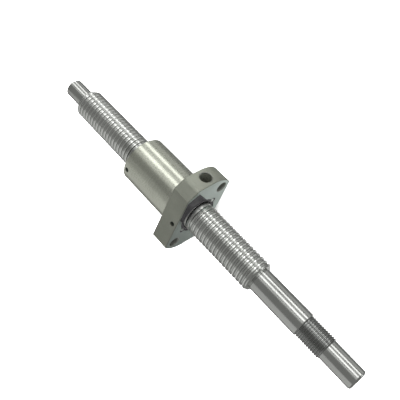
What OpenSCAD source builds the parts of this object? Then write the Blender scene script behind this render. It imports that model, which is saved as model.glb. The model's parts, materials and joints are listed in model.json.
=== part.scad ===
// Miniature ball screw with a rhombic-flange nut.
// The screw axis is +X, and +Z is up. The origin is on the axis, at the shoulder
// between the ball thread and the drive-end journal. All lengths are in millimetres.

/* [Screw shaft] */
// Outer diameter of the ball thread
thread_d = 14; // [13.8:0.1:14]
// Travel of the nut for one turn
lead = 2; // [2:0.1:2.2]
// Length of the ball thread
thread_len = 116; // [100:2:140]
// Diameter of the drive-end bearing journal
journal_d = 10.5; // [9:0.1:11]
// Length of the drive-end bearing journal
journal_len = 24.7; // [15:0.1:40]
// Outer diameter of the lock-nut thread
locknut_d = 10; // [8:0.1:10.4]
// Length of the lock-nut thread
locknut_len = 11.7; // [8:0.1:20]
// Diameter of the drive-end pin
drive_d = 8.8; // [6:0.1:9.5]
// Length of the drive-end pin
drive_len = 14.9; // [10:0.1:25]
// Diameter of the floating-end pin
float_d = 8.8; // [6:0.1:9.5]
// Length of the floating-end pin
float_len = 12.7; // [8:0.1:20]

/* [Nut] */
// Outer diameter of the nut barrel
nut_d = 22; // [22:0.5:26]
// Whole length of the nut
nut_len = 37.1; // [37.1:0.1:45]
// Distance from the nut's rear face to the origin
nut_rear = 74; // [60:1:90]
// Bore of the nut over the thread
bore_d = 14.3; // [14.2:0.05:14.4]

/* [Flange] */
// Thickness of the flange
flange_t = 8.8; // [6:0.2:9]
// Radius of the flange's middle
flange_mid_r = 15.9; // [15.8:0.1:16.2]
// Distance between the two bolt holes
bolt_span = 31; // [30:0.5:34]
// Radius of the flange's rounded corners beside the port
corner_r = 4.4; // [4.3:0.1:4.5]
// Distance between the two side flats
side_flats = 23; // [22.8:0.2:24]
// Diameter of a bolt hole
bolt_hole_d = 4.5; // [4.5:0.1:4.8]

/* [Balls] */
// Diameter of a ball
ball_d = 1.2; // [1.1:0.05:1.2]

/* [Hidden] */
$fn = 64;
over = 1;                       // how far a cutter runs past the face it opens
reach = 40;                     // long enough to leave the nut on any side

// Thread form: a land, two flanks and a root in every lead
thread_r = thread_d / 2;
root_r = 6.4;
land_w = 0.64;
flank_w = 0.32;
segments = 12;                  // flat steps in one turn of the thread
cap_slope = 2.2;                // how fast the end of the thread closes toward the axis
apex_shift = 0.5;               // the end caps close to a point this far off the axis
float_chamfer = 0.6;
drive_chamfer = 1;

// Nut
nut_x0 = -nut_rear;
nut_x1 = nut_x0 + nut_len;
flange_x0 = nut_x1 - flange_t;
bolt_r = bolt_span / 2;
end_wall = 3.9;                 // from a bolt hole's centre to the flange's tip
tip_r = 12.1;                   // the flange ends in blunt arcs of this radius,
tip_shift = -0.5;               // centred this far beside the line of the bolt holes
side_flat_turn = 117;           // normal of a side flat, from the line of the bolt holes
edge = 0.4;                     // chamfer on the nut's edges

// Discs that one half of the flange's outline is drawn tightly around, as [y, z, radius],
// with the bolt holes on the first axis
tip_disc = [bolt_r + end_wall - tip_r, tip_shift, tip_r];
brow_disc = [8.2, 9.8, corner_r];
middle_disc = [0, 0, flange_mid_r];

// Grease port, square to the flat between the flange's tip and its next corner
port_turn = tangent_turn(tip_disc, brow_disc);
port_flat = brow_disc[0] * cos(port_turn) + brow_disc[1] * sin(port_turn) + corner_r;
port_shift = 4.5;               // off the axis, toward the nearer bolt hole
port_x = flange_x0 + flange_t / 2;
port_tap_d = 5.2;
port_mouth_d = 6;
port_depth = 6;
port_feed_d = 2;

// Wipers and their retaining plates. The front plate is a ring with two ears for its screws
// and a lobe that follows the flange's outline, given by its corners across the axis.
wiper_r = 8;
wiper_bore_r = 7.12;
wiper_t = 2.5;
retainer_t = 1.2;
retainer_r = 8.7;
retainer_bore_r = 7.3;
ear_r = 1.4;
lobe_corners = [[7.9, 2.2], [9.5, 11.7], [4, 14.2], [-4.2, 10.1], [-6.3, 3]];
play = 0.05;                    // room around each part that drops into the nut
plate_screw_r = 8.75;           // distance of a plate's screws from the axis
plate_screw_turn = -13;
plate_screw_d = 1.2;
plate_screw_len = 3;
plate_head_d = 1.7;
plate_head_t = 0.6;

// Lock screws that hold the wipers
lock_d = 2;
lock_x = 2.3;                   // distance of a lock screw from the nearer nut face
lock_top = 10.2;                // how far out a lock screw reaches
lock_socket_d = 0.9;
lock_socket_depth = 0.8;
front_lock_shift = -3.2;        // along the side flat, away from the grease port
rear_lock_turn = 125;

// Ball circuits: one turn each, closed by a deflector
ball_circle_d = 14.2;           // circle through the ball centres
circuits = [0:3];
circuit_x0 = 6.5;               // first circuit, from the nut's rear face
turns_between = 3.25;
helix_gap = 18;                 // half of the angle that a deflector takes out of a turn
helix_balls = 32;
cross_balls = 3;
cross_r = 7.68;                 // ball centres while they pass over the land
deflector_d = 4.2;
deflector_top = 10.1;
channel_w = 1.44;
channel_top = 8.36;
groove_w = 1.4;
groove_top_w = 0.7;
groove_r0 = 6.9;                // the nut's groove: open side, shoulder and bottom
groove_shoulder_r = 7.5;
groove_r1 = 7.95;
groove_segments = 24;

// The thread's groove passes through the circuits, so it sets the thread's phase
groove_phase = nut_x0 + circuit_x0;

module along_x() rotate([0, 90, 0]) children();

// A point at radius r and angle a around the axis, at x
function on_axis(x, r, a) = [x, r * cos(a), r * sin(a)];

// Runs a radial tool outward from the axis at x and angle a
module radial(x, a) translate([x, 0, 0]) rotate([a - 90, 0, 0]) children();

module rod(x, len, d, start_chamfer = 0, end_chamfer = 0) {
    translate([x, 0, 0]) along_x() {
        if (start_chamfer > 0)
            cylinder(h = start_chamfer, r1 = d / 2 - start_chamfer, r2 = d / 2);
        translate([0, 0, start_chamfer])
            cylinder(h = len - start_chamfer - end_chamfer, d = d);
        if (end_chamfer > 0)
            translate([0, 0, len - end_chamfer])
                cylinder(h = end_chamfer, r1 = d / 2, r2 = d / 2 - end_chamfer);
    }
}

// Profile of one lead, as [distance along the axis, radius]
thread_profile = [
    [-land_w / 2, thread_r],
    [land_w / 2, thread_r],
    [land_w / 2 + flank_w, root_r],
    [lead - land_w / 2 - flank_w, root_r]
];

// Past either end the surface lies on the end face and runs in toward the axis
function thread_point(x, r, a, x0, x1) =
    let (past = max(0, x0 - x, x - x1))
    on_axis(min(max(x, x0), x1), r - cap_slope * past, a);

module ball_thread(x0, x1) {
    rows = len(thread_profile);
    land_phase = groove_phase + lead / 2;
    start_x = x0 - lead;
    steps = ceil(segments * ((x1 - x0 - thread_profile[rows - 1][0]) / lead + 2));
    start_turn = 360 * (start_x - land_phase) / lead;
    end_turn = start_turn + 360 * steps / segments;
    turned = [for (i = [0:steps]) for (p = thread_profile)
        thread_point(start_x + lead * i / segments + p[0], p[1],
                     start_turn + 360 * i / segments, x0, x1)];
    near = len(turned);
    far = near + 1;
    points = concat(turned, [on_axis(x0, apex_shift, start_turn - 90),
                             on_axis(x1, apex_shift, end_turn + 90)]);
    function at(i, k) = k < rows ? i * rows + k : (i + segments) * rows;
    function quads(i, k) = [
        [at(i, k), at(i, k + 1), at(i + 1, k + 1)],
        [at(i, k), at(i + 1, k + 1), at(i + 1, k)]
    ];
    inner = [for (i = [0:steps - 1]) for (k = [0:rows - 2]) each quads(i, k)];
    joining = [for (i = [0:steps - segments - 1]) each quads(i, rows - 1)];
    near_cap = [
        for (i = [0:segments - 1]) [near, at(i, 0), at(i + 1, 0)],
        for (k = [0:rows - 1]) [near, at(0, k + 1), at(0, k)]
    ];
    far_cap = [
        for (i = [steps - segments:steps - 1]) [far, at(i + 1, rows - 1), at(i, rows - 1)],
        for (k = [1:rows - 1]) [far, at(steps, k - 1), at(steps, k)],
        [far, at(steps - segments, rows - 1), at(steps, 0)]
    ];
    polyhedron(points, concat(inner, joining, near_cap, far_cap), convexity = 10);
}

module screw_shaft() {
    color("silver") {
        ball_thread(-thread_len, 0);
        rod(-thread_len - float_len, float_len + over, float_d,
            start_chamfer = float_chamfer);
        rod(-over, journal_len + over, journal_d);
        rod(journal_len, locknut_len, locknut_d);
        rod(journal_len + locknut_len, drive_len, drive_d,
            end_chamfer = drive_chamfer);
    }
}

half_discs = [tip_disc, brow_disc, middle_disc];
discs = concat(half_discs, [for (d = half_discs) [-d[0], -d[1], d[2]]]);

// Direction in which the tangent of discs a and b faces
function tangent_turn(a, b) =
    atan2(b[1] - a[1], b[0] - a[0]) - acos((a[2] - b[2]) / norm([b[0] - a[0], b[1] - a[1]]));

module flange_outline() {
    for (d = discs)
        translate([d[0], d[1]]) circle(r = d[2]);
    polygon([
        for (i = [0:len(discs) - 1])
            let (a = discs[i], b = discs[(i + 1) % len(discs)], t = tangent_turn(a, b))
            for (d = [a, b])
                [d[0] + d[2] * cos(t), d[1] + d[2] * sin(t)]
    ]);
}

// Turns a shape drawn in a plane square to the axis into one that runs along +X
module section_to_x(x) translate([x, 0, 0]) rotate([90, 0, 90]) children();

module flange() {
    intersection() {
        section_to_x(flange_x0) linear_extrude(flange_t) flange_outline();
        translate([flange_x0 - over, 0, 0]) rotate([side_flat_turn - 90, 0, 0])
            translate([0, -reach, -side_flats / 2])
                cube([flange_t + 2 * over, 2 * reach, side_flats]);
    }
}

// Where a ball is: turn is counted in degrees along the groove
function groove_x(turn) = groove_phase + lead * turn / 360;
function circuit_turn(n) = 360 * turns_between * n;

module balls(n) {
    start = circuit_turn(n);
    step = (360 - 2 * helix_gap) / helix_balls;
    color("gainsboro") {
        for (i = [0:helix_balls - 1]) {
            turn = start + helix_gap + step * (i + 0.5);
            translate(on_axis(groove_x(turn), ball_circle_d / 2, turn)) sphere(d = ball_d);
        }
        for (i = [1:cross_balls]) {
            way = i / (cross_balls + 1);
            turn = start - helix_gap + 2 * helix_gap * way;
            x = groove_x(start + 360 - helix_gap) * (1 - way) + groove_x(start + helix_gap) * way;
            translate(on_axis(x, cross_r, turn)) sphere(d = ball_d);
        }
    }
}

// A deflector sits over the land between the two ends of its circuit
module deflector_blank(n, extra) {
    radial(groove_x(circuit_turn(n) + 180), circuit_turn(n))
        cylinder(h = deflector_top + extra, d = deflector_d + 2 * extra);
}

module deflector(n) {
    slope = atan2(2 * helix_gap * PI / 180 * cross_r, lead * (1 - 2 * helix_gap / 360));
    color("dimgray") difference() {
        deflector_blank(n, 0);
        rod(nut_x0, nut_len, bore_d);
        radial(groove_x(circuit_turn(n) + 180), circuit_turn(n)) rotate([0, 0, slope])
            translate([-deflector_d, -channel_w / 2, 0])
                cube([2 * deflector_d, channel_w, channel_top]);
    }
}

// The nut's ball groove over one circuit, as a cutter
module groove_cutter(n) {
    ring = [[-groove_w / 2, groove_r0], [groove_w / 2, groove_r0],
            [groove_w / 2, groove_shoulder_r], [groove_top_w / 2, groove_r1],
            [-groove_top_w / 2, groove_r1], [-groove_w / 2, groove_shoulder_r]];
    m = len(ring);
    points = [for (i = [0:groove_segments]) for (p = ring)
        let (turn = circuit_turn(n) + 360 * i / groove_segments)
        on_axis(groove_x(turn) + p[0], p[1], turn)];
    sides = [for (i = [0:groove_segments - 1]) for (k = [0:m - 1])
        let (a = i * m + k, b = i * m + (k + 1) % m)
        each [[a, a + m, b + m], [a, b + m, b]]];
    start_cap = [[for (k = [0:m - 1]) k]];
    end_cap = [[for (k = [m - 1:-1:0]) groove_segments * m + k]];
    polyhedron(points, concat(sides, start_cap, end_cap), convexity = 4);
}

// A tool parallel to the axis, at angle a and distance d from it
module radial_section(a, d) rotate([a, 0, 0]) translate([0, d, 0]) along_x() children();

module plate_screw_places() {
    for (a = [plate_screw_turn, plate_screw_turn + 180])
        radial_section(a, plate_screw_r) children();
}

module rear_plate_outline() {
    circle(r = retainer_r);
    for (a = [plate_screw_turn, plate_screw_turn + 180])
        rotate(a) translate([plate_screw_r, 0]) circle(r = ear_r);
}

module front_plate_outline() {
    rear_plate_outline();
    polygon(lobe_corners);
}

// Where the lock screws run, outward from the axis
module front_lock_place()
    radial(nut_x1 - lock_x, side_flat_turn) translate([0, front_lock_shift, 0]) children();

module rear_lock_place() radial(nut_x0 + lock_x, rear_lock_turn) children();

module nut_body() {
    color("darkkhaki") difference() {
        union() {
            rod(nut_x0, nut_len - over, nut_d, start_chamfer = edge);
            flange();
        }
        rod(nut_x0 - over, nut_len + 2 * over, bore_d);
        // Front recess: wiper, then retaining plate
        rod(nut_x1 - retainer_t - wiper_t - play, retainer_t + wiper_t + over, 2 * (wiper_r + play));
        section_to_x(nut_x1 - retainer_t) linear_extrude(retainer_t + over)
            offset(delta = play) front_plate_outline();
        // Rear recess, with no lobe
        rod(nut_x0 - over, retainer_t + wiper_t + play + over, 2 * (wiper_r + play));
        section_to_x(nut_x0 - over) linear_extrude(retainer_t + over)
            offset(delta = play) rear_plate_outline();
        // Holes of the small screws that hold the plates
        translate([nut_x1 - plate_screw_len - play, 0, 0])
            plate_screw_places() cylinder(h = plate_screw_len + over, d = plate_screw_d + play);
        translate([nut_x0 - over, 0, 0])
            plate_screw_places() cylinder(h = plate_screw_len + play + over, d = plate_screw_d + play);
        // Lock screw holes
        front_lock_place() cylinder(h = reach, d = lock_d);
        rear_lock_place() cylinder(h = reach, d = lock_d);
        // Bolt holes
        for (side = [-1, 1])
            translate([flange_x0 - over, side * bolt_r, 0])
                along_x() cylinder(h = flange_t + 2 * over, d = bolt_hole_d);
        // Grease port: mouth chamfer, tapped hole and feed hole
        radial(port_x, port_turn) translate([0, port_shift, 0]) {
            cylinder(h = reach, d = port_feed_d);
            translate([0, 0, port_flat - port_depth]) cylinder(h = reach, d = port_tap_d);
            translate([0, 0, port_flat - (port_mouth_d - port_tap_d) / 2])
                cylinder(h = over, d1 = port_tap_d, d2 = port_tap_d + 2 * over);
        }
        for (n = circuits) {
            groove_cutter(n);
            deflector_blank(n, play);
        }
    }
}

module front_wiper() {
    color("#202020") difference() {
        rod(nut_x1 - retainer_t - wiper_t, wiper_t - play, 2 * wiper_r);
        rod(nut_x0, nut_len, 2 * wiper_bore_r);
    }
}

module rear_wiper() {
    color("#202020") difference() {
        rod(nut_x0 + retainer_t + play, wiper_t - play, 2 * wiper_r);
        rod(nut_x0, nut_len, 2 * wiper_bore_r);
    }
}

// Room for a plate's screws, from the plate's inner face at x. The heads lie at x + head_x.
module plate_screw_holes(x, head_x) {
    translate([x - over, 0, 0])
        plate_screw_places() cylinder(h = retainer_t + 2 * over, d = plate_screw_d + play);
    translate([x + head_x, 0, 0])
        plate_screw_places() cylinder(h = plate_head_t + over, d = plate_head_d + play);
}

module front_wiper_retainer() {
    color("#181818") difference() {
        section_to_x(nut_x1 - retainer_t) linear_extrude(retainer_t) front_plate_outline();
        rod(nut_x0, nut_len + over, 2 * retainer_bore_r);
        plate_screw_holes(nut_x1 - retainer_t, retainer_t - plate_head_t);
    }
}

module rear_wiper_retainer() {
    color("#181818") difference() {
        section_to_x(nut_x0) linear_extrude(retainer_t) rear_plate_outline();
        rod(nut_x0 - over, nut_len, 2 * retainer_bore_r);
        plate_screw_holes(nut_x0, -over);
    }
}

module plate_screws(shank_x, head_x) {
    color("darkslategray") {
        translate([shank_x, 0, 0])
            plate_screw_places() cylinder(h = plate_screw_len, d = plate_screw_d);
        translate([head_x, 0, 0])
            plate_screw_places() cylinder(h = plate_head_t, d = plate_head_d);
    }
}

module front_retainer_screws() plate_screws(nut_x1 - plate_screw_len, nut_x1 - plate_head_t);

module rear_retainer_screws() plate_screws(nut_x0, nut_x0);

// A grub screw with a hexagon socket. Its foot stops just short of the wiper.
module grub_screw() {
    foot = wiper_r + 2 * play;
    color("#303030") difference() {
        translate([0, 0, foot]) cylinder(h = lock_top - foot, d = lock_d - play);
        translate([0, 0, lock_top - lock_socket_depth])
            cylinder(h = lock_socket_depth + over, d = lock_socket_d, $fn = 6);
    }
}

module front_lock_screw() front_lock_place() grub_screw();

module rear_lock_screw() rear_lock_place() grub_screw();

screw_shaft();
nut_body();
balls(0);  // ball_circuit_1
balls(1);  // ball_circuit_2
balls(2);  // ball_circuit_3
balls(3);  // ball_circuit_4
deflector(0);  // deflector_1
deflector(1);  // deflector_2
deflector(2);  // deflector_3
deflector(3);  // deflector_4
front_wiper();
rear_wiper();
front_wiper_retainer();
rear_wiper_retainer();
front_retainer_screws();
rear_retainer_screws();
front_lock_screw();
rear_lock_screw();
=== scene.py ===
import json
import math

import bmesh
import bpy
from mathutils import Matrix, Vector

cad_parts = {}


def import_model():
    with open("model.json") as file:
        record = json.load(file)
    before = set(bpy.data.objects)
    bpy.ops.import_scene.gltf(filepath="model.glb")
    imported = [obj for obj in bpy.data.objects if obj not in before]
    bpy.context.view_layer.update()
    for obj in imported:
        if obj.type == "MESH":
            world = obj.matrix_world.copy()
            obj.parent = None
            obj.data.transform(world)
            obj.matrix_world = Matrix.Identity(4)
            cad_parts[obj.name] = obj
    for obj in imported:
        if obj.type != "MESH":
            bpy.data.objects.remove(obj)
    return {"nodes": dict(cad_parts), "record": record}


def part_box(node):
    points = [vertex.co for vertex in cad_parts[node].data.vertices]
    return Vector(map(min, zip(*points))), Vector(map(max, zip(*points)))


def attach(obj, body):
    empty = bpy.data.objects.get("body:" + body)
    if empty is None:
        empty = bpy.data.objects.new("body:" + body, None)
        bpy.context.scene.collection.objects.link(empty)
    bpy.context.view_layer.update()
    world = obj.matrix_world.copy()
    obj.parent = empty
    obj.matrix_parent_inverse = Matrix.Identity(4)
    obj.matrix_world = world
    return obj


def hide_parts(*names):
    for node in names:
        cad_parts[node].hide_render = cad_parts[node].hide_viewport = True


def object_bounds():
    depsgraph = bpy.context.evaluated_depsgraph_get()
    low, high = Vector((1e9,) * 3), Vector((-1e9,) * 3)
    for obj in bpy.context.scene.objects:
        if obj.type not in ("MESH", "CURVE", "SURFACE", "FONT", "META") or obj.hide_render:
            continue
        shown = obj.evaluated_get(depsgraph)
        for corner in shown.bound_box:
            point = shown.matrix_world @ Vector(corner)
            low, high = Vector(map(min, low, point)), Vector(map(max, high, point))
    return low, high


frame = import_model()
cad_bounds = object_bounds()

# Lengths are in metres. The screw axis is +X, and an angle around it runs from +Y to +Z.
MM = 0.001
mounts = {m["name"]: m for m in frame["record"]["mounts"]}


def mount_x(name):
    return mounts[name]["pos_m"][0]


def mount_r(name):
    return mounts[name]["dims"]["r_mm"] * MM


def mount_len(name):
    return mounts[name]["dims"]["length_mm"] * MM


# ---------------------------------------------------------------- sizes, from the frame
SHAFT_X0, SHAFT_X1 = (corner[0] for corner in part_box("screw_shaft"))
NUT_X0, NUT_X1 = (corner[0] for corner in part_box("nut_body"))
THREAD_X0 = mount_x("floating_pin")
THREAD_X1 = mount_x("drive_journal")
LOCKNUT_X0 = mount_x("locknut_thread")
DRIVE_X0 = mount_x("drive_pin")
FLANGE_X0 = mount_x("flange_face")
LEAD = frame["record"]["behaviour"]["couplings"][0]["ratio"] * math.tau

THREAD_R = 7.0 * MM
BALL_R = 0.6 * MM
BALL_CIRCLE_R = 7.1 * MM
LAND_HALF = 0.36 * MM               # half of the land between two turns of the groove
LAND_ROUND = 0.07 * MM
ARCH_SHIFT = 0.03 * MM              # how far each side of the gothic arch is moved over
SCREW_GROOVE_FIT = 1.06             # radius of a groove over that of a ball
NUT_GROOVE_FIT = 1.08
FIRST_CIRCUIT = 6.5 * MM            # first ball circuit, from the nut's rear face
GROOVE_PHASE = NUT_X0 + FIRST_CIRCUIT
TURNS_BETWEEN = 3.25                # turns of the thread from one circuit to the next
CIRCUITS = 4
CENTRE_HOLE_R = 1.0 * MM            # centre holes in both ends of the shaft
CENTRE_HOLE_DEPTH = 1.4 * MM
CENTRE_HOLE_END_R = 0.25 * MM

BARREL_R = mount_r("nut_barrel")
BORE_R = 7.15 * MM
PLAY = 0.05 * MM
BOLT_R = mounts["flange_bolts"]["dims"]["spacing_x_mm"] / 2 * MM
BOLT_HOLE_R = mounts["flange_bolts"]["dims"]["hole_r_mm"] * MM
FLANGE_MID_R = 15.9 * MM
END_WALL = 3.9 * MM                 # from a bolt hole's middle to the flange's end
TIP_R = 12.1 * MM                   # the flange ends in blunt arcs of this radius
TIP_SHIFT = -0.5 * MM
CORNER_R = 4.4 * MM
TIP_DISC = (BOLT_R + END_WALL - TIP_R, TIP_SHIFT, TIP_R)    # discs are (y, z, radius)
BROW_DISC = (8.2 * MM, 9.8 * MM, CORNER_R)                  # the rounded corner past the port
SIDE_FLAT = 11.5 * MM               # distance of a side flat from the axis
SIDE_FLAT_TURN = math.radians(117)  # direction of a side flat's normal
PORT_TURN = math.atan2(*reversed(mounts["grease_port"]["axis"][1:]))
PORT_FLAT = BROW_DISC[0] * math.cos(PORT_TURN) + BROW_DISC[1] * math.sin(PORT_TURN) + CORNER_R

PLATE_T = 1.2 * MM                  # wiper retaining plates
PLATE_R = 8.7 * MM
PLATE_BORE_R = 7.3 * MM
EAR_R = 1.4 * MM                    # ears of a plate, around its screws
LOBE = [(7.9, 2.2), (9.5, 11.7), (4.0, 14.2), (-4.2, 10.1), (-6.3, 3.0)]   # (y, z) in mm
WIPER_R = 8.0 * MM
WIPER_T = 2.5 * MM
PLATE_SCREW_R = 8.75 * MM           # distance of the plate screws from the axis
PLATE_SCREW_TURN = math.radians(-13)
PLATE_SCREW_RADIUS = 0.6 * MM
PLATE_HEAD_RADIUS = 0.85 * MM
PLATE_HEAD_T = 0.6 * MM
PLATE_SCREW_LEN = 3.0 * MM
LOCK_X = 2.3 * MM                   # lock screws, from the nut's end faces
LOCK_R = 1.0 * MM
FRONT_LOCK_SHIFT = -3.2 * MM
REAR_LOCK_TURN = math.radians(125)
DEFLECTOR_R = 2.1 * MM
DEFLECTOR_TOP = 10.1 * MM
PORT_SHIFT = 4.5 * MM
PORT_X = mount_x("grease_port")
PORT_TAP_R = mount_r("grease_port")
PORT_DEPTH = 6.0 * MM

OPPOSITE = (0, math.pi)             # turns of two features on opposite sides of the axis
OVER = 1 * MM                       # how far a cutter or a hidden end runs past a face
SHARP_ANGLE = math.radians(28)
SAME_POINT = 1e-7                   # points closer than this are merged
SHORTEST_EDGE = 1e-8
ON_PLANE = 1e-9
ROUND_STEPS = 160                   # sides of a turned piece
PLATE_STEPS = 288                   # points of a retaining plate's outline


# ---------------------------------------------------------------- mesh helpers
def on_axis(x, r, turn):
    return Vector((x, r * math.cos(turn), r * math.sin(turn)))


def full_turn(steps):
    return [math.tau * i / steps for i in range(steps)]


def smooth(mesh, sharp=SHARP_ANGLE):
    """Shade a mesh smooth except over edges sharper than the given angle."""
    mesh.shade_smooth()
    mesh.set_sharp_from_angle(angle=sharp)


def to_object(name, bm, sharp=SHARP_ANGLE):
    """Make an object of a bmesh."""
    bmesh.ops.remove_doubles(bm, verts=bm.verts, dist=SAME_POINT)
    bmesh.ops.dissolve_degenerate(bm, edges=bm.edges, dist=SHORTEST_EDGE)
    bmesh.ops.recalc_face_normals(bm, faces=bm.faces)
    mesh = bpy.data.meshes.new(name)
    bm.to_mesh(mesh)
    bm.free()
    smooth(mesh, sharp)
    piece = bpy.data.objects.new(name, mesh)
    bpy.context.scene.collection.objects.link(piece)
    return piece


def add_rings(bm, rings, closed_profile=False):
    """Join rings of points into a surface. Each ring is a closed loop of the same length."""
    made = [[bm.verts.new(p) for p in ring] for ring in rings]
    pairs = list(zip(made, made[1:]))
    if closed_profile:
        pairs.append((made[-1], made[0]))
    for a, b in pairs:
        for i in range(len(a)):
            j = (i + 1) % len(a)
            bm.faces.new((a[i], a[j], b[j], b[i]))
    if not closed_profile:
        bm.faces.new(made[0])
        bm.faces.new(made[-1])


def lathe(name, profile, steps=ROUND_STEPS, closed_profile=False):
    """Turn (x, radius) points around the axis."""
    bm = bmesh.new()
    add_rings(bm, [[on_axis(x, r, t) for t in full_turn(steps)] for x, r in profile], closed_profile)
    return to_object(name, bm)


def radial_frame(x, turn, shift=0.0):
    """Frame whose +Z points outward at the given turn, moved sideways from the axis by shift."""
    out = Vector((0, math.cos(turn), math.sin(turn)))
    along = Vector((1, 0, 0))
    side = out.cross(along)
    place = Vector((x, 0, 0)) + side * shift
    return Matrix.Translation(place) @ Matrix((along, side, out)).transposed().to_4x4()


def axial_frame(x, turn, reach, facing=1):
    """Frame parallel to the axis, whose +Z points along +X, or along -X if facing is -1."""
    z = Vector((facing, 0, 0))
    y = Vector((0, 1, 0))
    return Matrix.Translation(on_axis(x, reach, turn)) @ Matrix((y.cross(z), y, z)).transposed().to_4x4()


def circle_rings(place, profile, steps):
    """Rings around the +Z of the frame place, from (height, radius) points."""
    return [
        [place @ Vector((r * math.cos(t), r * math.sin(t), h)) for t in full_turn(steps)]
        for h, r in profile
    ]


def round_cutter(place, profile, steps=64):
    """Cutter turned around the +Z of the frame place, from (height, radius) points."""
    bm = bmesh.new()
    add_rings(bm, circle_rings(place, profile, steps))
    return to_object("cutter", bm)


def apply_boolean(piece, cutter, operation="DIFFERENCE"):
    """Cut or join with an exact boolean, and drop the cutter."""
    modifier = piece.modifiers.new("cut", "BOOLEAN")
    modifier.operation = operation
    modifier.solver = "EXACT"
    modifier.object = cutter
    graph = bpy.context.evaluated_depsgraph_get()
    cut = bpy.data.meshes.new_from_object(piece.evaluated_get(graph))
    piece.modifiers.clear()
    old = piece.data
    piece.data = cut
    bpy.data.meshes.remove(old)
    bpy.data.objects.remove(cutter)


# ---------------------------------------------------------------- shaft
def add_thread(bm, x0, x1, lead, profile, phase, segments, limit):
    """
    Closed threaded rod between x0 and x1. The profile holds (distance along the axis, radius)
    over one lead, phase is where the profile's zero crosses turn zero, and limit(x) is the
    largest radius there.
    """
    spare = 2                       # turns past each end, cut off again below
    first = math.floor((x0 - phase) / lead) - spare
    steps = (math.ceil((x1 - phase) / lead) + spare - first) * segments
    grid = []
    for i in range(steps + 1):
        base = phase + lead * (first + i / segments)
        turn = math.tau * (i % segments) / segments
        grid.append([
            bm.verts.new(on_axis(base + dx, min(r, limit(base + dx)), turn)) for dx, r in profile
        ])
    for i in range(steps):
        for k in range(len(profile) - 1):
            bm.faces.new((grid[i][k], grid[i + 1][k], grid[i + 1][k + 1], grid[i][k + 1]))
        if i + segments + 1 <= steps:
            above = grid[i + segments], grid[i + segments + 1]
            bm.faces.new((grid[i][-1], grid[i + 1][-1], above[1][0], above[0][0]))
    for x, outward in ((x0, -1), (x1, 1)):
        everything = bm.verts[:] + bm.edges[:] + bm.faces[:]
        bmesh.ops.bisect_plane(
            bm, geom=everything, dist=ON_PLANE, plane_co=(x, 0, 0), plane_no=(outward, 0, 0), clear_outer=True
        )
    for x in (x0, x1):
        rim = [e for e in bm.edges if e.is_boundary and all(abs(v.co.x - x) < SAME_POINT for v in e.verts)]
        bmesh.ops.edgeloop_fill(bm, edges=rim)


def end_limit(x0, x1, r, start, end):
    """Largest radius along a rod with 45 degree chamfers at its ends."""
    def limit(x):
        near = r - max(0.0, x0 + start - x)
        far = r - max(0.0, x - (x1 - end))
        return min(near, far)
    return limit


def ball_groove_profile():
    """One lead of the ball thread, centred on a groove: a gothic arch with a land on each side."""
    arch_r = BALL_R * SCREW_GROOVE_FIT
    half = LEAD / 2 - LAND_HALF
    steps = 6
    points = []
    for i in range(steps + 1):
        x = half * math.sin(math.pi / 2 * i / steps)
        depth = math.sqrt(max(0.0, arch_r ** 2 - (x + ARCH_SHIFT) ** 2))
        points.append((x, min(BALL_CIRCLE_R - depth, THREAD_R - LAND_ROUND)))
    land = [(half, THREAD_R - LAND_ROUND), (half + LAND_ROUND, THREAD_R)]
    right = points[:-1] + land
    left = [(-x, r) for x, r in reversed(right)]
    return left[:-1] + right


def vee_profile(pitch, r, depth):
    """One pitch of a fine thread, centred on a crest."""
    crest_half = pitch * 0.14
    flank_end = pitch * 0.42
    root = r - depth
    return [(-pitch / 2, root), (-flank_end, root), (-crest_half, r), (crest_half, r), (flank_end, root)]


def ball_thread():
    chamfer = 0.7 * MM
    segments = 72
    limit = end_limit(THREAD_X0, THREAD_X1, THREAD_R, chamfer, chamfer)
    bm = bmesh.new()
    add_thread(bm, THREAD_X0, THREAD_X1, LEAD, ball_groove_profile(), GROOVE_PHASE, segments, limit)
    return to_object("ball_thread", bm, sharp=math.radians(40))


def locknut_thread():
    r = mount_r("locknut_thread")
    x1 = LOCKNUT_X0 + mount_len("locknut_thread")
    pitch = 1.0 * MM
    thread_depth = 0.36 * MM
    start_chamfer = 0.35 * MM
    end_chamfer = 0.5 * MM
    segments = 64
    limit = end_limit(LOCKNUT_X0, x1, r, start_chamfer, end_chamfer)
    bm = bmesh.new()
    add_thread(bm, LOCKNUT_X0, x1, pitch, vee_profile(pitch, r, thread_depth), 0.0, segments, limit)
    return to_object("locknut_thread", bm, sharp=math.radians(25))


def drive_journal():
    """The bearing journal, with a grinding relief at the shoulder and a chamfer at its end."""
    r = mount_r("drive_journal")
    relief = 0.15 * MM
    relief_x = THREAD_X1 + 0.5 * MM
    ground_x = THREAD_X1 + 0.75 * MM
    chamfer = 0.3 * MM
    return lathe("drive_journal", [
        (THREAD_X1 - OVER, r - relief),
        (relief_x, r - relief),
        (ground_x, r),
        (LOCKNUT_X0 - chamfer, r),
        (LOCKNUT_X0, r - chamfer),
    ], steps=192)


def drive_pin():
    """The drive-end pin, with a rounded end and a centre hole."""
    r = mount_r("drive_pin")
    edge = 1.0 * MM
    edge_steps = 6
    corner = [
        (SHAFT_X1 - edge * (1 - math.sin(t)), r - edge * (1 - math.cos(t)))
        for t in (math.pi / 2 * i / edge_steps for i in range(edge_steps + 1))
    ]
    return lathe("drive_pin", [
        (DRIVE_X0 - OVER, r),
        *corner,
        (SHAFT_X1, CENTRE_HOLE_R),
        (SHAFT_X1 - CENTRE_HOLE_DEPTH, CENTRE_HOLE_END_R),
    ])


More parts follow.
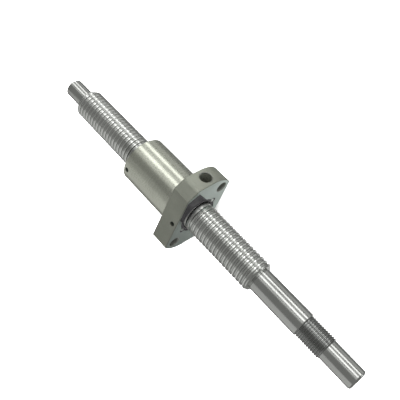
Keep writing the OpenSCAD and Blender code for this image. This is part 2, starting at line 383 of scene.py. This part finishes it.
def floating_pin():
    """The floating-end pin, with a chamfered end, a centre hole and a relief at the thread."""
    r = mount_r("floating_pin")
    chamfer = 0.6 * MM
    break_x = 0.06 * MM             # the chamfer's own edge is broken slightly
    break_r = 0.04 * MM
    relief = 0.12 * MM
    relief_start = 0.6 * MM
    relief_end = 0.45 * MM
    return lathe("floating_pin", [
        (SHAFT_X0 + CENTRE_HOLE_DEPTH, CENTRE_HOLE_END_R),
        (SHAFT_X0, CENTRE_HOLE_R),
        (SHAFT_X0, r - chamfer - break_r),
        (SHAFT_X0 + break_x, r - chamfer + break_x),
        (SHAFT_X0 + chamfer, r),
        (THREAD_X0 - relief_start, r),
        (THREAD_X0 - relief_end, r - relief),
        (THREAD_X0 + OVER, r - relief),
    ])


# ---------------------------------------------------------------- nut
def arc(centre, r, start, end, steps):
    """Points of an arc in the plane square to the axis, as (y, z)."""
    turns = (start + (end - start) * i / steps for i in range(steps + 1))
    return [(centre[0] + r * math.cos(t), centre[1] + r * math.sin(t)) for t in turns]


def clip_to_flats(points, flat):
    """Cut a convex outline with the two side flats."""
    for side in (1, -1):
        n = (side * math.cos(SIDE_FLAT_TURN), side * math.sin(SIDE_FLAT_TURN))
        kept = []
        for p, q in zip(points, points[1:] + points[:1]):
            dp = p[0] * n[0] + p[1] * n[1] - flat
            dq = q[0] * n[0] + q[1] * n[1] - flat
            if dp <= 0:
                kept.append(p)
            if dp * dq < 0:
                t = dp / (dp - dq)
                kept.append((p[0] + (q[0] - p[0]) * t, p[1] + (q[1] - p[1]) * t))
        points = kept
    return points


def tangent_turn(a, b):
    """Direction in which the outer tangent of discs a and b faces."""
    dy, dz = b[0] - a[0], b[1] - a[1]
    return math.atan2(dz, dy) - math.acos((a[2] - b[2]) / math.hypot(dy, dz))


def flange_outline(inset):
    """The flange's outline, drawn in by inset: a line pulled tight around discs, then cut."""
    arc_steps = 16
    half = [TIP_DISC, BROW_DISC, (0.0, 0.0, FLANGE_MID_R)]
    discs = half + [(-y, -z, r) for y, z, r in half]
    points = []
    for i, disc in enumerate(discs):
        start = tangent_turn(discs[i - 1], disc)
        end = tangent_turn(disc, discs[(i + 1) % len(discs)])
        sweep = (end - start) % math.tau
        points += arc(disc[:2], disc[2] - inset, start, start + sweep, arc_steps)
    return clip_to_flats(points, SIDE_FLAT - inset)


def flange():
    edge = 0.28 * MM
    layers = (
        (FLANGE_X0, edge),
        (FLANGE_X0 + edge, 0),
        (NUT_X1 - edge, 0),
        (NUT_X1, edge),
    )
    bm = bmesh.new()
    add_rings(bm, [[Vector((x, y, z)) for y, z in flange_outline(inset)] for x, inset in layers])
    return to_object("nut_body", bm)


def barrel():
    edge = 0.4 * MM
    relief = 0.12 * MM
    relief_start = 0.5 * MM
    relief_end = 0.3 * MM
    return lathe("barrel", [
        (NUT_X0, BARREL_R - edge),
        (NUT_X0 + edge, BARREL_R),
        (FLANGE_X0 - relief_start, BARREL_R),
        (FLANGE_X0 - relief_end, BARREL_R - relief),
        (FLANGE_X0 + OVER, BARREL_R - relief),
    ], steps=256)


def reach_of_circle(turn, centre_turn, centre_r, r):
    """How far out a circle reaches in the direction turn, or 0 if it doesn't."""
    across = centre_r * math.sin(turn - centre_turn)
    if abs(across) > r:
        return 0.0
    return centre_r * math.cos(turn - centre_turn) + math.sqrt(r ** 2 - across ** 2)


def reach_of_edge(turn, p, q):
    """How far out the edge from p to q lies in the direction turn, or 0 if it isn't met."""
    parallel = 1e-12
    y, z = math.cos(turn), math.sin(turn)
    ey, ez = q[0] - p[0], q[1] - p[1]
    across = y * ez - z * ey
    if abs(across) < parallel:
        return 0.0
    along = (z * p[0] - y * p[1]) / across
    distance = (p[0] * ez - p[1] * ey) / across
    return distance if 0 <= along <= 1 and distance > 0 else 0.0


def plate_ring(x, lobe, inset):
    """Outline of a retaining plate at x, drawn in by inset: a disc, two ears and a lobe."""
    corners = [(y * MM, z * MM) for y, z in lobe]
    ring = []
    for turn in full_turn(PLATE_STEPS):
        r = PLATE_R
        for side in OPPOSITE:
            r = max(r, reach_of_circle(turn, PLATE_SCREW_TURN + side, PLATE_SCREW_R, EAR_R))
        for p, q in zip(corners, corners[1:]):
            r = max(r, reach_of_edge(turn, p, q))
        ring.append(on_axis(x, r - inset, turn))
    return ring


def bore_cutter():
    """The bore, with a seat for a wiper ring at each end."""
    seat_r = WIPER_R + PLAY
    seat_depth = PLATE_T + WIPER_T + PLAY
    return lathe("cutter", [
        (NUT_X0 - OVER, seat_r),
        (NUT_X0 + seat_depth, seat_r),
        (NUT_X0 + seat_depth, BORE_R),
        (NUT_X1 - seat_depth, BORE_R),
        (NUT_X1 - seat_depth, seat_r),
        (NUT_X1 + OVER, seat_r),
    ])


def plate_cutters():
    """The recesses of the two retaining plates."""
    for x0, x1, lobe in (
        (NUT_X1 - PLATE_T, NUT_X1 + OVER, LOBE),
        (NUT_X0 - OVER, NUT_X0 + PLATE_T, []),
    ):
        bm = bmesh.new()
        add_rings(bm, [plate_ring(x, lobe, -PLAY) for x in (x0, x1)])
        yield to_object("cutter", bm)


def bolt_hole_cutters():
    edge = 0.3 * MM
    depth = NUT_X1 - FLANGE_X0
    for side in OPPOSITE:
        yield round_cutter(axial_frame(FLANGE_X0, side, BOLT_R), [
            (-edge, BOLT_HOLE_R + 2 * edge),
            (edge, BOLT_HOLE_R),
            (depth - edge, BOLT_HOLE_R),
            (depth + edge, BOLT_HOLE_R + 2 * edge),
        ])


def plate_screw_cutters():
    r = PLATE_SCREW_RADIUS + PLAY
    for side in OPPOSITE:
        for x, facing in ((NUT_X1 - PLATE_SCREW_LEN, 1), (NUT_X0 + PLATE_SCREW_LEN, -1)):
            hole = axial_frame(x, PLATE_SCREW_TURN + side, PLATE_SCREW_R, facing)
            yield round_cutter(hole, [(0, r), (PLATE_SCREW_LEN + OVER, r)], steps=32)


def lock_screw_cutters():
    chamfer = 0.15 * MM
    for place, face in (
        (radial_frame(NUT_X0 + LOCK_X, REAR_LOCK_TURN), BARREL_R),
        (radial_frame(NUT_X1 - LOCK_X, SIDE_FLAT_TURN, FRONT_LOCK_SHIFT), SIDE_FLAT),
    ):
        yield round_cutter(place, [
            (WIPER_R, LOCK_R),
            (face - chamfer, LOCK_R),
            (face + OVER, LOCK_R + chamfer + OVER),
        ])


def port_cutter():
    """The grease port: a feed hole to the bore, then a threaded hole with a chamfered mouth."""
    chamfer = 0.4 * MM
    feed_r = 1 * MM
    feed_start = BORE_R - 3 * MM
    drill_point = 0.8 * MM
    pitch = 1 * MM
    threads = 5
    groove = 0.3 * MM
    bottom = PORT_FLAT - PORT_DEPTH
    profile = [(feed_start, feed_r), (bottom - drill_point, feed_r), (bottom, PORT_TAP_R)]
    for n in range(threads):
        height = bottom + pitch * (n + 0.2)
        profile += [
            (height, PORT_TAP_R),
            (height + 0.4 * pitch, PORT_TAP_R + groove),
            (height + 0.5 * pitch, PORT_TAP_R + groove),
            (height + 0.9 * pitch, PORT_TAP_R),
        ]
    profile += [(PORT_FLAT - chamfer, PORT_TAP_R), (PORT_FLAT + OVER, PORT_TAP_R + chamfer + OVER)]
    return round_cutter(radial_frame(PORT_X, PORT_TURN, PORT_SHIFT), profile, steps=96)


def groove_cutter(circuit):
    """The nut's ball groove over one circuit."""
    start = math.tau * TURNS_BETWEEN * circuit
    arch_r = BALL_R * NUT_GROOVE_FIT
    arch_steps = 8
    inner_r = 6.9 * MM              # inside the bore
    turn_steps = 72
    ring = [(-arch_r, inner_r)]
    ring += [
        (arch_r * math.cos(t), BALL_CIRCLE_R + arch_r * math.sin(t))
        for t in (math.pi - math.pi * i / arch_steps for i in range(arch_steps + 1))
    ]
    ring.append((arch_r, inner_r))
    bm = bmesh.new()
    add_rings(bm, [
        [on_axis(GROOVE_PHASE + LEAD * turn / math.tau + dx, r, turn) for dx, r in ring]
        for turn in (start + math.tau * i / turn_steps for i in range(turn_steps + 1))
    ])
    return to_object("cutter", bm)


def circuit_cutters():
    """The groove and the deflector's hole of each ball circuit."""
    r = DEFLECTOR_R + PLAY
    for n in range(CIRCUITS):
        turn = math.tau * TURNS_BETWEEN * n
        x = GROOVE_PHASE + LEAD * (TURNS_BETWEEN * n + 0.5)
        yield groove_cutter(n)
        yield round_cutter(radial_frame(x, turn), [(0, r), (DEFLECTOR_TOP + PLAY, r)])


def nut_cutters():
    """Every hole and pocket of the nut."""
    yield bore_cutter()
    yield from plate_cutters()
    yield from bolt_hole_cutters()
    yield from plate_screw_cutters()
    yield from lock_screw_cutters()
    yield port_cutter()
    yield from circuit_cutters()


def nut_body():
    piece = flange()
    apply_boolean(piece, barrel(), "UNION")
    for cutter in nut_cutters():
        apply_boolean(piece, cutter)
    smooth(piece.data)
    return piece


# ---------------------------------------------------------------- plates, wipers and screws
def retaining_plate(name, face_x, outward, lobe):
    """
    A moulded plate with a lip around the shaft and a rim along its outline. outward is 1 if it
    faces +X and -1 if it faces -X.
    """
    panel_depth = 0.25 * MM         # depths are measured from the nut's face
    ridge_depth = 0.05 * MM         # the tops of the lip and the rim
    bore_edge_depth = 0.35 * MM
    outer_edge_depth = 0.2 * MM
    lip_start = 0.3 * MM
    lip_end = 0.7 * MM
    rim_width = 0.2 * MM
    slope = 0.15 * MM
    inner = [
        (PLATE_T, PLATE_BORE_R),
        (bore_edge_depth, PLATE_BORE_R),
        (ridge_depth, PLATE_BORE_R + lip_start),
        (ridge_depth, PLATE_BORE_R + lip_end),
        (panel_depth, PLATE_BORE_R + lip_end + slope),
    ]
    outer = [
        (panel_depth, slope + rim_width + slope),
        (ridge_depth, slope + rim_width),
        (ridge_depth, slope),
        (outer_edge_depth, 0.0),
        (PLATE_T, 0.0),
    ]

    def below(depth):
        return face_x - outward * depth

    rings = [[on_axis(below(depth), r, t) for t in full_turn(PLATE_STEPS)] for depth, r in inner]
    rings += [plate_ring(below(depth), lobe, inset) for depth, inset in outer]
    bm = bmesh.new()
    add_rings(bm, rings, closed_profile=True)
    piece = to_object(name, bm)
    shank = PLATE_SCREW_RADIUS + PLAY
    head = PLATE_HEAD_RADIUS + PLAY
    seat = PLATE_T - PLATE_HEAD_T
    for side in OPPOSITE:
        hole = axial_frame(below(PLATE_T), PLATE_SCREW_TURN + side, PLATE_SCREW_R, outward)
        profile = [(-OVER, shank), (seat, shank), (seat, head), (PLATE_T + OVER, head)]
        apply_boolean(piece, round_cutter(hole, profile, steps=48))
    smooth(piece.data)
    return piece


def wiper_ring(name, x0, x1):
    """A wiper ring with labyrinth grooves inside."""
    bore = 7.12 * MM
    edge = 0.15 * MM
    grooves = 3
    groove_depth = 0.3 * MM
    groove_bottom = 0.2 * MM
    slope = 0.1 * MM
    pitch = (x1 - x0) / (grooves + 0.5)
    profile = [
        (x0, WIPER_R - edge),
        (x0 + edge, WIPER_R),
        (x1 - edge, WIPER_R),
        (x1, WIPER_R - edge),
        (x1, bore),
    ]
    for i in range(grooves):
        x = x1 - pitch * (i + 0.5)
        profile += [
            (x, bore),
            (x - slope, bore + groove_depth),
            (x - slope - groove_bottom, bore + groove_depth),
            (x - slope - groove_bottom - slope, bore),
        ]
    profile.append((x0, bore))
    return lathe(name, profile, closed_profile=True)


def plate_screws(name, face_x, outward):
    """Two small slotted screws, flush with the nut's face."""
    point = 0.2 * MM
    head_edge = 0.15 * MM
    slot_half = (0.14 * MM, 1.5 * MM, 0.3 * MM)
    profile = [
        (-PLATE_SCREW_LEN, PLATE_SCREW_RADIUS - point),
        (-PLATE_SCREW_LEN + point, PLATE_SCREW_RADIUS),
        (-PLATE_HEAD_T, PLATE_SCREW_RADIUS),
        (-PLATE_HEAD_T, PLATE_HEAD_RADIUS),
        (-head_edge, PLATE_HEAD_RADIUS),
        (0, PLATE_HEAD_RADIUS - head_edge),
    ]
    places = [axial_frame(face_x, PLATE_SCREW_TURN + side, PLATE_SCREW_R, outward) for side in OPPOSITE]
    bm = bmesh.new()
    for place in places:
        add_rings(bm, circle_rings(place, profile, 48))
    piece = to_object(name, bm)
    for place in places:
        slot = bmesh.new()
        bmesh.ops.create_cube(slot, size=2, matrix=place @ Matrix.Diagonal((*slot_half, 1)))
        apply_boolean(piece, to_object("cutter", slot))
    smooth(piece.data)
    return piece


# ---------------------------------------------------------------- materials
TURNED = (9000, 250, 250)      # grain along X, Y and Z: rings around the axis
GROUND = (30000, 500, 500)     # finer rings
MILLED = (2500, 2500, 2500)    # even grain
COOL = (0.98, 1.0, 0.96)       # tint of bright steel


def shader(name):
    material = bpy.data.materials.new(name)
    material.use_nodes = True
    tree = material.node_tree
    return material, tree, tree.nodes["Principled BSDF"]


def noise(tree, coordinates, scale, **inputs):
    """Noise over object coordinates stretched by scale, a vector."""
    mapping = tree.nodes.new("ShaderNodeMapping")
    mapping.inputs["Scale"].default_value = scale
    tree.links.new(coordinates.outputs["Object"], mapping.inputs["Vector"])
    node = tree.nodes.new("ShaderNodeTexNoise")
    tree.links.new(mapping.outputs["Vector"], node.inputs["Vector"])
    node.inputs["Scale"].default_value = 1.0
    for key, value in inputs.items():
        node.inputs[key].default_value = value
    return node


def connect_ramp(tree, source, low, high, target):
    """Drive a shader input by a noise, from the colour low to the colour high."""
    node = tree.nodes.new("ShaderNodeValToRGB")
    for element, position, colour in zip(node.color_ramp.elements, (0.3, 0.7), (low, high)):
        element.position = position
        element.color = colour
    tree.links.new(source.outputs["Fac"], node.inputs["Fac"])
    tree.links.new(node.outputs["Color"], target)


def connect_relief(tree, source, strength, bsdf):
    """Raise a surface slightly by a noise."""
    relief = tree.nodes.new("ShaderNodeBump")
    relief.inputs["Strength"].default_value = strength
    relief.inputs["Distance"].default_value = 0.01 * MM
    tree.links.new(source.outputs["Fac"], relief.inputs["Height"])
    tree.links.new(relief.outputs["Normal"], bsdf.inputs["Normal"])


def grey(v, tint=(1, 1, 1)):
    return (v * tint[0], v * tint[1], v * tint[2], 1)


def steel(name, value, tint, rough, marks, bump, rough_spread=0.05, metallic=1.0):
    """
    Steel with machining marks. value holds the darkest and lightest grey, and marks how finely
    the grain repeats along X, Y and Z.
    """
    material, tree, bsdf = shader(name)
    coordinates = tree.nodes.new("ShaderNodeTexCoord")
    fine = noise(tree, coordinates, marks, Detail=4.0, Roughness=0.6)
    broad = noise(tree, coordinates, (60, 90, 90), Detail=2.0)
    dark, light = value
    connect_ramp(tree, broad, grey(dark, tint), grey(light, tint), bsdf.inputs["Base Color"])
    connect_ramp(tree, fine, grey(rough - rough_spread), grey(rough + rough_spread), bsdf.inputs["Roughness"])
    connect_relief(tree, fine, bump, bsdf)
    bsdf.inputs["Metallic"].default_value = metallic
    return material


def plastic(name, value, rough):
    material, tree, bsdf = shader(name)
    coordinates = tree.nodes.new("ShaderNodeTexCoord")
    grain = noise(tree, coordinates, (4000, 4000, 4000), Detail=3.0)
    light = grey(value * 1.4, (1.0, 0.95, 1.1))
    connect_ramp(tree, grain, grey(value * 0.7), light, bsdf.inputs["Base Color"])
    connect_relief(tree, grain, 0.25, bsdf)
    bsdf.inputs["Roughness"].default_value = rough
    return material


# The groove's steel is a darker copy of the lands' steel: painted shade standing in for the shadow inside the
# concave groove.
land_steel = steel("land_steel", (0.66, 0.76), COOL, 0.2, TURNED, 0.1)
groove_shade_steel = steel("groove_shade_steel", (0.5, 0.6), COOL, 0.24, TURNED, 0.1)
journal_steel = steel("journal_steel", (0.44, 0.52), COOL, 0.2, GROUND, 0.12)
dark_steel = steel("dark_steel", (0.26, 0.36), (0.98, 1.0, 0.97), 0.24, TURNED, 0.1)
barrel_steel = steel("barrel_steel", (0.52, 0.6), (0.97, 1.0, 0.86), 0.27, GROUND, 0.15)
# The flange's steel and the front face's steel are a darker and a lighter copy of one milled steel: the
# flats' darker tone is painted shade that holds down their reflection, and the front face's lighter tone is
# painted light. The holes' steel is a darker copy again, painted shade inside the bolt holes and at the
# port's mouth; its small non-metal share lets the ceiling lamp light it.
flange_steel = steel("flange_steel", (0.34, 0.42), (0.96, 1.0, 0.86), 0.6, MILLED, 0.35)
hole_shade_steel = steel("hole_shade_steel", (0.25, 0.35), (0.96, 1.0, 0.9), 0.5, MILLED, 0.2, metallic=0.9)
face_lit_steel = steel("face_lit_steel", (0.42, 0.52), (0.88, 1.0, 0.93), 0.38, MILLED, 0.25)
ball_steel = steel("ball_steel", (0.7, 0.8), (1.0, 1.0, 1.02), 0.07, MILLED, 0.02, 0.02)
sintered_steel = steel("sintered_steel", (0.25, 0.4), (1.0, 0.98, 0.95), 0.5, MILLED, 0.5)
screw_steel = steel("screw_steel", (0.6, 0.72), (0.95, 1.0, 0.95), 0.3, MILLED, 0.2)
oxide_steel = steel("oxide_steel", (0.12, 0.2), (0.85, 1.0, 1.0), 0.35, MILLED, 0.3)
black_plastic = plastic("black_plastic", 0.018, 0.38)


def paint_thread(thread):
    """Give the lands of the ball thread a brighter steel than its groove; the groove's darker steel is
    painted shade for the shadow inside the groove.
    """
    thread.data.materials.append(land_steel)
    for face in thread.data.polygons:
        on_land = math.hypot(face.center.y, face.center.z) > THREAD_R - LAND_ROUND / 2
        face.material_index = 1 if on_land else 0


def nut_steel_at(centre, normal, to_port):
    """The steel of a face of the nut: hole walls and the port's mouth get a darker copy, painted shade, and
    the front face a lighter copy, painted light. to_port leads to the frame of the grease port.
    """
    square_to = 0.9                 # a direction's least share in the normal of a face square to it
    bore_margin = 1 * MM
    bolt_hole_margin = 0.3 * MM
    port_margin = 0.45 * MM
    port_edge_depth = 0.5 * MM
    at_port = to_port @ centre
    on_port_edge = (
        math.hypot(at_port.x, at_port.y) < PORT_TAP_R + port_margin
        and at_port.z > PORT_FLAT - port_edge_depth
        and abs((to_port.to_3x3() @ normal).z) < square_to
    )
    on_wall = abs(normal.x) < square_to
    in_bolt_hole = on_wall and math.hypot(abs(centre.y) - BOLT_R, centre.z) < BOLT_HOLE_R + bolt_hole_margin
    in_bore = on_wall and math.hypot(centre.y, centre.z) < BORE_R + bore_margin
    on_barrel = centre.x < FLANGE_X0 - 0.01 * MM
    if on_port_edge or in_bolt_hole:
        return hole_shade_steel
    if on_barrel or in_bore:
        return barrel_steel
    return face_lit_steel if normal.x > square_to else flange_steel


def paint_nut(nut):
    """Give each face of the nut its steel, with painted shade on the flats and in the holes and painted light
    on the front face.
    """
    steels = [barrel_steel, flange_steel, face_lit_steel, hole_shade_steel]
    nut.data.materials.clear()
    for material in steels:
        nut.data.materials.append(material)
    to_port = radial_frame(PORT_X, PORT_TURN, PORT_SHIFT).inverted()
    for face in nut.data.polygons:
        face.material_index = steels.index(nut_steel_at(face.center, face.normal, to_port))


# ---------------------------------------------------------------- pieces
def dress(piece, material, slot, body, *nodes):
    """Give a piece its material, and say which nodes it replaces and which body it rides on."""
    piece.data.materials.clear()
    piece.data.materials.append(material)
    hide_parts(*nodes)
    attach(piece, body)


thread = ball_thread()
for piece, material in (
    (thread, groove_shade_steel),
    (drive_journal(), journal_steel),
    (locknut_thread(), dark_steel),
    (drive_pin(), journal_steel),
    (floating_pin(), journal_steel),
):
    dress(piece, material, "shaft_steel", "screw", "screw_shaft")
paint_thread(thread)

nut = nut_body()
dress(nut, barrel_steel, "nut_steel", "nut", "nut_body")
paint_nut(nut)

dress(retaining_plate("front_plate", NUT_X1, 1, LOBE), black_plastic,
      "black_plastic", "nut", "front_wiper_retainer")
dress(retaining_plate("rear_plate", NUT_X0, -1, []), black_plastic,
      "black_plastic", "nut", "rear_wiper_retainer")
dress(plate_screws("front_plate_screws", NUT_X1, 1), screw_steel,
      "small_screws", "nut", "front_retainer_screws")
dress(plate_screws("rear_plate_screws", NUT_X0, -1), screw_steel,
      "small_screws", "nut", "rear_retainer_screws")
dress(wiper_ring("front_wiper_ring", NUT_X1 - PLATE_T - WIPER_T, NUT_X1 - PLATE_T - PLAY), black_plastic,
      "black_plastic", "wipers", "front_wiper")
dress(wiper_ring("rear_wiper_ring", NUT_X0 + PLATE_T + PLAY, NUT_X0 + PLATE_T + WIPER_T), black_plastic,
      "black_plastic", "wipers", "rear_wiper")

for names, material in (
    ([f"ball_circuit_{n + 1}" for n in range(CIRCUITS)], ball_steel),
    ([f"deflector_{n + 1}" for n in range(CIRCUITS)], sintered_steel),
    (["front_lock_screw", "rear_lock_screw"], oxide_steel),
):
    for name in names:
        for place in frame["nodes"][name].material_slots:
            place.material = material


# ---------------------------------------------------------------- stage, lights and camera
STRIP_X = -0.16                     # middle of the strips and cards along the screw
FLANGE_MIDDLE = (-0.036, 0.01, 0.0)


def floor():
    """A flat pale floor, just under the flange."""
    material, tree, bsdf = shader("floor_paint")
    coordinates = tree.nodes.new("ShaderNodeTexCoord")
    grain = noise(tree, coordinates, (30, 30, 30), Detail=2.0)
    connect_ramp(tree, grain, grey(0.9), grey(0.92), bsdf.inputs["Base Color"])
    bsdf.inputs["Roughness"].default_value = 0.9
    level = cad_bounds[0][2] - 0.2 * MM
    reach = 6.0
    mesh = bpy.data.meshes.new("floor")
    mesh.from_pydata(
        [(-reach, -reach, level), (reach, -reach, level), (reach, reach, level), (-reach, reach, level)],
        [], [(0, 1, 2, 3)],
    )
    mesh.materials.append(material)
    piece = bpy.data.objects.new("floor", mesh)
    bpy.context.scene.collection.objects.link(piece)
    piece.visible_glossy = False
    piece.visible_shadow = False


def area_light(name, place, target, size, energy, glossy=True):
    """A rectangular light whose first side runs along the screw, aimed at target."""
    data = bpy.data.lights.new(name, "AREA")
    data.shape = "RECTANGLE"
    data.size, data.size_y = size
    data.energy = energy
    light = bpy.data.objects.new(name, data)
    bpy.context.scene.collection.objects.link(light)
    z = (Vector(place) - Vector(target)).normalized()
    x = Vector((1, 0, 0))
    y = z.cross(x).normalized()
    light.matrix_world = Matrix.Translation(place) @ Matrix((y.cross(z), y, z)).transposed().to_4x4()
    light.visible_glossy = glossy


def strip(name, turn_deg, distance, x, size, energy):
    """A soft strip along the screw, at an angle around it."""
    area_light(name, on_axis(x, distance, math.radians(turn_deg)), (x, 0, 0), size, energy)


def world(value):
    scene_world = bpy.data.worlds.new("studio")
    scene_world.use_nodes = True
    background = scene_world.node_tree.nodes["Background"]
    background.inputs["Color"].default_value = (value, value, value * 0.98, 1)
    bpy.context.scene.world = scene_world


def camera():
    """The view from above and beside the drive end."""
    data = bpy.data.cameras.new("camera")
    data.lens = 49.8
    data.sensor_width = 36
    data.clip_start = 0.01
    view = bpy.data.objects.new("camera", data)
    bpy.context.scene.collection.objects.link(view)
    back = Vector((0.3892, 0.2039, 0.8983)).normalized()
    right = Vector((0.6461, 0.6346, -0.4240))
    right = (right - back * right.dot(back)).normalized()
    up = back.cross(right)
    place = Vector((49.14, 52.22, 206.8)) * MM
    view.matrix_world = Matrix.Translation(place) @ Matrix((right, up, back)).transposed().to_4x4()
    bpy.context.scene.camera = view


floor()
world(0.27)
strip("near_strip", 48.5, 0.36, STRIP_X, (0.62, 0.085), 0.4)
strip("far_strip", 13, 0.36, STRIP_X, (0.62, 0.075), 0.38)
strip("between_strips", 30.5, 0.38, STRIP_X, (0.62, 0.12), 0.07)
strip("top_card", 69, 0.5, STRIP_X, (0.8, 0.12), 0.18)
strip("left_card", 171, 0.5, STRIP_X, (0.8, 0.64), 0.6)
strip("right_card", -20, 0.5, STRIP_X, (0.8, 0.26), 0.2)
strip("barrel_card", 125, 0.5, -0.32, (0.14, 0.22), 0.022)
area_light("front_card", (0.17, 0.02, -0.45), FLANGE_MIDDLE, (0.3, 0.24), 0.2)
area_light("rim_card", (0.35, 0.33, -0.05), FLANGE_MIDDLE, (0.14, 0.14), 0.15)
area_light("ceiling", (-0.05, 0.1, 1.6), (-0.05, 0.0, 0.0), (2.4, 2.4), 190, glossy=False)
bpy.context.scene.view_settings.view_transform = "Standard"
camera()
